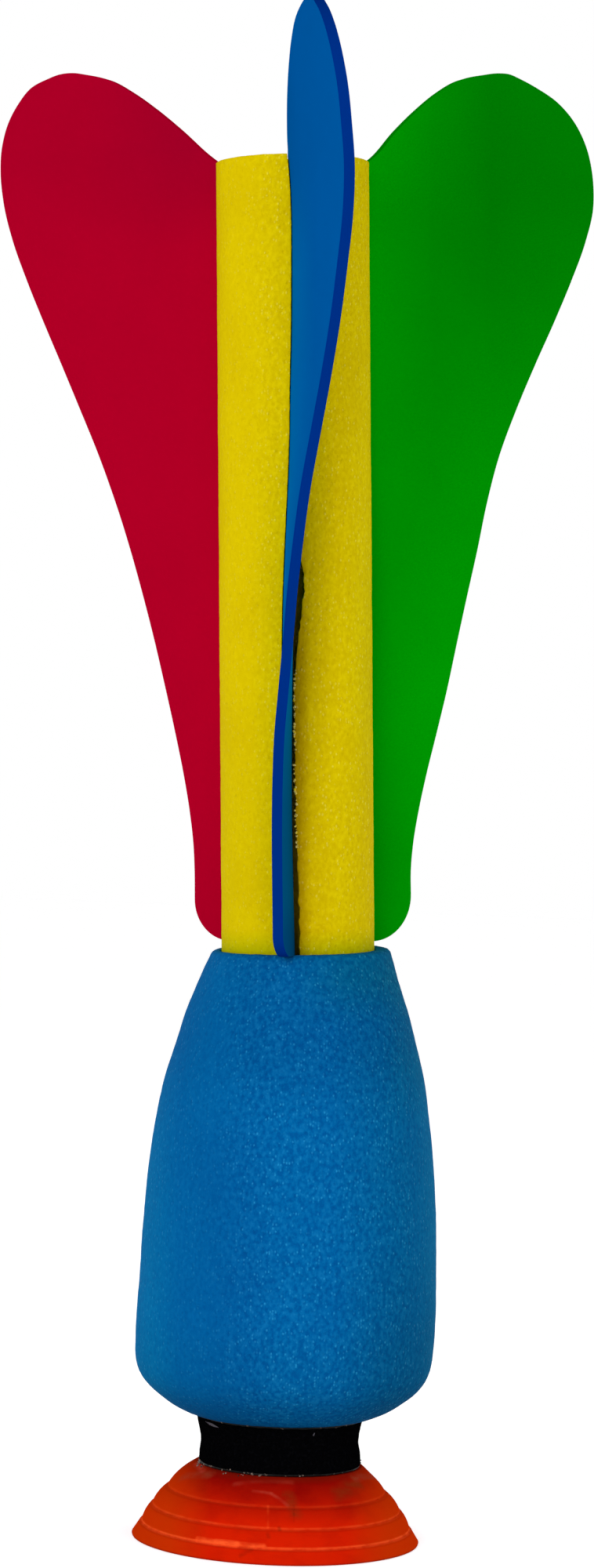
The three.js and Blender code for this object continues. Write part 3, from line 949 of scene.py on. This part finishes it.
class FinShape:
    """What a CAD fin's corners say of its outline and bend, in the tube's frame turned to the fin."""

    def __init__(self, node):
        self.place = TAIL @ Matrix.Rotation(math.radians(FIN_AZIMUTHS[node]), 4, "Z")
        points = corners(node, self.place)
        self.heights = np.array(levels(points[:, 2], ROW_GAP))
        self.foot, self.top = self.heights[[0, -1]]
        rows = [points[abs(points[:, 2] - height) < ROW_GAP / 2] for height in self.heights]
        self.inner = np.array([row[:, 0].min() for row in rows])
        self.edge = np.array([row[:, 0].max() for row in rows])
        inner_side, edge_side = (
            np.array([self.middle(row, radius) for row, radius in zip(rows, radii)])
            for radii in (self.inner, self.edge)
        )
        growth = self.growth(self.inner, self.edge)
        root_side = (inner_side - growth * edge_side) / (1 - growth)
        first = int(np.searchsorted(self.heights, self.foot + CAD_CORNER))
        self.edge[:first], edge_side[:first] = self.edge[first], edge_side[first]
        self.bends = np.column_stack([root_side, edge_side])
        self.foot -= FOOT_DROPS[node]
        self.corner = CORNERS[node]

    @staticmethod
    def middle(row, radius):
        """How far the sheet's middle lies to the side at a radius of one row."""
        sides = row[abs(row[:, 0] - radius) < CLOSE][:, 1]
        return (sides.min() + sides.max()) / 2

    @staticmethod
    def growth(radii, edge):
        return np.clip((radii - TUBE_RADIUS) / (edge - TUBE_RADIUS), 0, 1) ** BOW_POWER

    def root(self, height):
        """How far the sheet lies to the side where it enters the tube."""
        return smooth(self.heights, self.bends, height)[0, 0]

    def side(self, radii, heights):
        """How far the sheet lies to the side at each place."""
        edge = smooth(self.heights, self.edge, heights)[:, 0]
        root_side, edge_side = smooth(self.heights, self.bends, heights).T
        return root_side + (edge_side - root_side) * self.growth(radii, edge)


FIN_SHAPES = {node: FinShape(node) for node in FIN_AZIMUTHS}


def fin_outline(shape):
    """The sheet's outline, as radii and heights: up its outer edge, over the lobe and down to its foot."""
    above = shape.heights > TUBE_LENGTH + ROW_GAP
    free = shape.heights > shape.foot + max(CAD_CORNER, shape.corner)
    up = np.column_stack([shape.edge, shape.heights])[free]
    start_point = (up[0][0], shape.foot + shape.corner)
    down = np.column_stack([shape.inner, shape.heights])[above][::-1]
    tab = shape.inner[~above][0]
    lobe = resample(np.concatenate([[start_point], up, down]), OUTLINE_STEPS)
    turn = np.linspace(0, math.pi / 2, CORNER_STEPS)[:-1]
    corner = np.column_stack([np.sin(turn), 1 - np.cos(turn)]) * shape.corner
    corner += (start_point[0] - shape.corner, shape.foot)
    return [*corner, *lobe, (tab, TUBE_LENGTH), (tab, shape.foot)]


def largest(flat):
    return max(flat.faces, key=lambda face: face.calc_area())


def cut_flat(shape):
    """A flat sheet cut to the fin's outline and into small squares, and each corner's rounding."""
    flat = bmesh.new()
    flat.faces.new([flat.verts.new((radius, 0, height)) for radius, height in fin_outline(shape)])
    bmesh.ops.remove_doubles(flat, verts=flat.verts, dist=CLOSE)
    stage = flat.verts.layers.float.new("stage")
    known = set()
    for inset, way_round in EDGE_SHARES:
        if inset:
            width = EDGE_ROUND * inset
            bmesh.ops.inset_region(flat, faces=[largest(flat)], thickness=width, use_even_offset=True)
        for vertex in set(flat.verts) - known:
            vertex[stage] = way_round
        known = set(flat.verts)
    across = (Vector((1, 0, 0)), shape.inner.min(), shape.edge.max())
    upward = (Vector((0, 0, 1)), shape.foot, shape.top)
    for normal, low, high in (across, upward):
        for place in np.arange(low + FIN_STEP, high, FIN_STEP):
            every = flat.verts[:] + flat.edges[:] + flat.faces[:]
            cut = {"plane_co": normal * place, "plane_no": normal}
            bmesh.ops.bisect_plane(flat, geom=every, dist=ON_CUT, **cut)
    flat.verts.index_update()
    return flat, np.array([vertex[stage] for vertex in flat.verts])


def warp(radius, height):
    """The slight waves of a soft sheet, away from the tube."""
    free = min(1, max(0, (radius - TUBE_RADIUS) / WARP_START))
    return max(0, WARP * noise.noise(Vector((radius, 0, height)) / WARP_SIZE) * free)


def fin(node, slot, face_material, cut_material):
    shape = FIN_SHAPES[node]
    flat, stages = cut_flat(shape)
    places = np.array([vertex.co for vertex in flat.verts])
    radii, heights = places[:, 0], places[:, 2]
    middle = shape.side(radii, heights) + [warp(*place) for place in zip(radii, heights)]
    half = FIN_THICKNESS / 2 - EDGE_ROUND * (1 - np.sqrt(1 - (1 - stages) ** 2))
    skins = [np.column_stack([radii, middle + sign * half, heights]) for sign in (-1, 1)]
    count = len(places)
    faces = []
    for shift in (0, count):
        faces += [tuple(vertex.index + shift for vertex in face.verts) for face in flat.faces]
    materials = [0] * len(faces)
    for edge in flat.edges:
        if edge.is_boundary:
            a, b = (vertex.index for vertex in edge.verts)
            faces.append((a, b, b + count, a + count))
            materials.append(1)
    flat.free()
    vertices = placed(np.concatenate(skins), shape.place)
    sheet = piece(node + "_sheet", vertices, faces, slot, face_material, cut_material, sharp=60)
    sheet.data.polygons.foreach_set("material_index", materials)
    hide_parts(node)


# Tube

END_SETTLE = 10 * MM  # over this much of its end, the tube leans to its slanting cut
SLIT_FLOOR = 6.5 * MM
SLIT_PLAY = 0.02 * MM
SLIT_EDGE = 0.12 * MM
# Heights above the floor, and how far the front slit stands open there at its right, both in mm
GAPES = [
    (114, 0.8), (120, 0.85), (131, 0.8), (145, 0.5), (155, 0.4), (168, 0.36), (176, 1.0), (182, 1.6),
    (186, 1.8), (190, 0.9), (193, 0),
]
# Lumps of the slit's torn edge: their size and depth in mm, and their place in the noise
TEARS = [(2.1, 0.3, 0), (0.7, 0.16, 9)]
TUBE_LUMPS = [(8 * MM, 0.06 * MM), (1.3 * MM, 0.04 * MM), (0.8 * MM, 0.03 * MM)]
TORN_BITS = 110
TORN_HEIGHTS = (66 * MM, 102 * MM)
TORN_SIDES = (-0.15 * MM, 0.2 * MM)
TORN_DEPTH = 0.25 * MM
TORN_SIZES = (0.1 * MM, 0.26 * MM)


def gape(node, height):
    """The open gap beside the front fin. Its foam edge is torn, so it isn't straight."""
    above_floor = (TAIL @ Vector((0, 0, height))).z / MM
    if node != "fin_blue" or above_floor > GAPES[-1][0]:
        return 0
    width = smooth(*apart(GAPES), above_floor)[0, 0]
    for size, depth, place in TEARS:
        width += depth * noise.noise(Vector((place, 0, above_floor / size)))
    return max(0, width) * MM


def surface(side):
    """The radius, along a fin's direction, of the tube's surface at a distance to the side."""
    return math.sqrt(TUBE_RADIUS**2 - side**2)


def slit_side(side, outward):
    """One side of a slit's section, from the tube's surface down to the slit's floor."""
    edge = side + outward * SLIT_EDGE
    nick = SLIT_EDGE * NICK_SHARE
    points = [(surface(edge), edge), (surface(side) - nick, side + outward * nick)]
    points += [(radius, side) for radius in np.linspace(surface(side) - SLIT_EDGE, SLIT_FLOOR, SLIT_STEPS)]
    return points


def slit_points(node, height, is_open):
    """A slit's section, from its left edge in the tube's surface to its right edge."""
    centre = FIN_SHAPES[node].root(height)
    left = centre - FIN_THICKNESS / 2 - SLIT_PLAY
    right = centre + FIN_THICKNESS / 2 + SLIT_PLAY + gape(node, height)
    points = np.array(slit_side(left, -1) + slit_side(right, 1)[::-1])
    ends = np.arctan2(points[[0, -1], 1], points[[0, -1], 0])
    if not is_open:
        angles = np.linspace(*ends, len(points))
        points = TUBE_RADIUS * np.column_stack([np.cos(angles), np.sin(angles)])
    azimuth = math.radians(FIN_AZIMUTHS[node])
    turn = np.array([[math.cos(azimuth), math.sin(azimuth)], [-math.sin(azimuth), math.cos(azimuth)]])
    return points @ turn, azimuth + ends


def tube_section(height):
    """The tube's outside at a height, round from the front slit, as X, Y and Z."""
    slits = []
    for node in FIN_AZIMUTHS:
        floor = FIN_SHAPES[node].foot - SLIT_PLAY
        slits.append(slit_points(node, height, height > floor + CLOSE / 2))
    loop = []
    for i, (points, ends) in enumerate(slits):
        following = slits[(i + 1) % len(slits)][1][0] + (2 * math.pi if i == len(slits) - 1 else 0)
        arc = np.linspace(ends[1], following, ARC_STEPS + 2)[1:-1]
        loop += [points, TUBE_RADIUS * np.column_stack([np.cos(arc), np.sin(arc)])]
    flat = np.concatenate(loop)
    share = max(0, 1 - (TUBE_LENGTH - height) / END_SETTLE)
    return np.column_stack([flat, height + flat[:, 1] * CUT_SLANT * share])


def rounded_end(rings):
    """Adds the tube's rounded edge at its end."""
    for drop, shrink in ROUNDED_SHARES:
        section = tube_section(TUBE_LENGTH - drop * SLIT_EDGE)
        radii = np.hypot(section[:, 0], section[:, 1])
        pulled = np.minimum(1, (TUBE_RADIUS - shrink * SLIT_EDGE) / radii)
        section[:, :2] *= pulled[:, None]
        rings.append(section)


def close_ends(vertices, faces):
    """Fills the ends between the outside and the bore."""
    skin = bmesh.new()
    made = [skin.verts.new(vertex) for vertex in vertices]
    for face in faces:
        skin.faces.new([made[i] for i in face])
    for end in (0, TUBE_LENGTH):
        edges = [e for e in skin.edges if e.is_boundary and abs(e.verts[0].co.z - end) < END_SETTLE]
        bmesh.ops.triangle_fill(skin, use_beauty=True, edges=edges)
    skin.verts.index_update()
    points = np.array([vertex.co for vertex in skin.verts])
    found = [tuple(vertex.index for vertex in face.verts) for face in skin.faces]
    skin.free()
    return points, found


def tube():
    hidden = np.arange(0, HEAD_REAR - HIDDEN_STEP, HIDDEN_STEP)
    shown = np.arange(HEAD_REAR - HIDDEN_STEP, TUBE_LENGTH - SLIT_EDGE, TUBE_STEP)
    feet = np.array(levels([shape.foot - SLIT_PLAY for shape in FIN_SHAPES.values()], CLOSE))
    shown = [height for height in shown if abs(feet - height).min() > TUBE_STEP / 2]
    rings = [tube_section(height) for height in sorted([*hidden, *shown, *feet, *feet + CLOSE])]
    rounded_end(rings)
    bore = [ring(BORE_RADIUS, height, BORE_STEPS) for height in (0, TUBE_LENGTH / 2, TUBE_LENGTH)]
    vertices, faces = close_ends(*gathered([loft(rings, capped=False), loft(bore, capped=False)]))
    yellow = foam(
        "yellow_foam", TUBE_YELLOWS, cell=0.8, dark_share=0.32, pale_share=0.7,
        tones=TUBE_TONES, calm=TUBE_CALM,
    )
    obj = piece("foam_tube", placed(vertices, TAIL), faces, "yellow_foam", yellow, sharp=50)
    roughen(obj, TUBE_LUMPS)
    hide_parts("body_tube")


def torn_edge():
    """Bits of foam that stand up along the front slit's torn edge."""
    shape = FIN_SHAPES["fin_blue"]
    spots = []
    for height in RANDOM.uniform(*TORN_HEIGHTS, TORN_BITS):
        side = shape.root(height) + FIN_THICKNESS / 2 + gape("fin_blue", height)
        side += RANDOM.uniform(*TORN_SIDES)
        radius = surface(side) - RANDOM.uniform(0, TORN_DEPTH)
        spots.append((shape.place @ Vector((radius, side, height)), RANDOM.uniform(*TORN_SIZES)))
    shades = (TUBE_OCHRE, TORN_YELLOW, TORN_YELLOW, TORN_YELLOW)
    material = foam("torn_foam", shades, cell=0.4, dark_share=1, pale_share=1)
    crumbs("torn_slit_edge", spots, "yellow_foam", material)


# Stage

FLOOR_SHADES = [(0.91, 0.91, 0.91, 1), (0.93, 0.93, 0.93, 1)]
FLOOR_GLOW = 0.45
FLOOR_WIDTH = 8
SKY_LIGHT = 0.55  # on the object, when the camera sees it at 1
LAMP_WIDTH = 0.5
LAMP_TARGET = Vector((0, 0, 0.14))
# Each lamp's place and power
LAMPS = {
    "key": ((-0.33, -1.01, 0.42), 5.2),
    "fill": ((0.72, -0.83, 0.4), 1.6),
    "left_rim": ((-0.75, 0.7, 0.2), 1.8),
    "right_rim": ((0.75, 0.7, 0.2), 2.6),
}


def seen_rays(tree):
    """1 for the camera's own rays and those by mirror or glass, and 0 for light on the object."""
    rays = add(tree, "LightPath").outputs
    mirrored = maths(tree, "MAXIMUM", rays["Is Glossy Ray"], rays["Is Transmission Ray"])
    return maths(tree, "MAXIMUM", rays["Is Camera Ray"], mirrored)


def place_floor():
    material, tree, shader, spot = start("floor_white", roughness=0.9, specular=0.5)
    colour = blend_colours(tree, speckle(tree, spot, size=40.0), *FLOOR_SHADES)
    tree.links.new(colour, shader.inputs["Base Color"])
    shader.inputs["Emission Color"].default_value = WHITE
    tree.links.new(times(tree, seen_rays(tree), FLOOR_GLOW), shader.inputs["Emission Strength"])
    bpy.ops.mesh.primitive_plane_add(size=FLOOR_WIDTH)
    floor = bpy.context.object
    floor.name = "floor"
    floor.data.materials.append(material)


def place_world():
    world = bpy.data.worlds.new("studio")
    bpy.context.scene.world = world
    world.use_nodes = True
    tree = world.node_tree
    background = tree.nodes["Background"]
    background.inputs["Color"].default_value = WHITE
    strength = spread(tree, seen_rays(tree), 0, 1, SKY_LIGHT, 1)
    tree.links.new(strength, background.inputs["Strength"])


def lamp(name, location, power):
    """A soft square lamp that points at the rocket's middle."""
    data = bpy.data.lights.new(name, "AREA")
    data.size = LAMP_WIDTH
    data.energy = power
    obj = added(name, data)
    obj.location = location
    obj.rotation_euler = (LAMP_TARGET - obj.location).to_track_quat("-Z", "Y").to_euler()
    obj.visible_camera = False


def place_camera():
    data = bpy.data.cameras.new("camera")
    data.sensor_width = SENSOR_WIDTH
    data.lens = data.sensor_width * CAMERA_DISTANCE / VIEW_HEIGHT
    data.shift_x = (MIDDLE_PIXEL[0] - AXIS_PIXEL[0]) / PICTURE_HEIGHT
    data.shift_y = (AXIS_PIXEL[1] - MIDDLE_PIXEL[1]) / PICTURE_HEIGHT
    turn = Matrix((RIGHT, UP, BACK)).transposed().to_4x4()
    camera = added("camera", data)
    camera.matrix_world = Matrix.Translation(EYE) @ turn
    bpy.context.scene.camera = camera


place_camera()
place_floor()
place_world()
for name, (location, power) in LAMPS.items():
    lamp(name, location, power)
bpy.context.scene.view_settings.view_transform = "Standard"

cup = suction_cup()
spool = collar()
specked_glue = glue("specked_glue", whiteness=0.08)
foot_bead = glue_bead("collar_foot_glue", "collar_cup_glue", specked_glue, swell=-0.25 * MM)
glue_bead("collar_top_glue", "collar_head_glue", glue("dark_glue", whiteness=0), swell=-0.4 * MM)
set_glue = glue("set_glue", whiteness=1)
collar_specks([cup, spool, foot_bead], set_glue)
collar_lint([spool], lint())
head()
for name, (shade, tones, cut_shade) in FIN_LOOKS.items():
    face = sheet_foam(f"{name}_sheet", shade, tones=tones)
    cut = sheet_foam(f"{name}_cut", cut_shade, roughness=0.8)
    fin(f"fin_{name}", f"{name}_eva", face, cut)
tube()
torn_edge()
for node in ("stem_glue", "tube_glue", "fin_red_glue", "fin_green_glue", "fin_blue_glue"):
    materials = frame["nodes"][node].data.materials
    materials.clear()
    materials.append(set_glue)
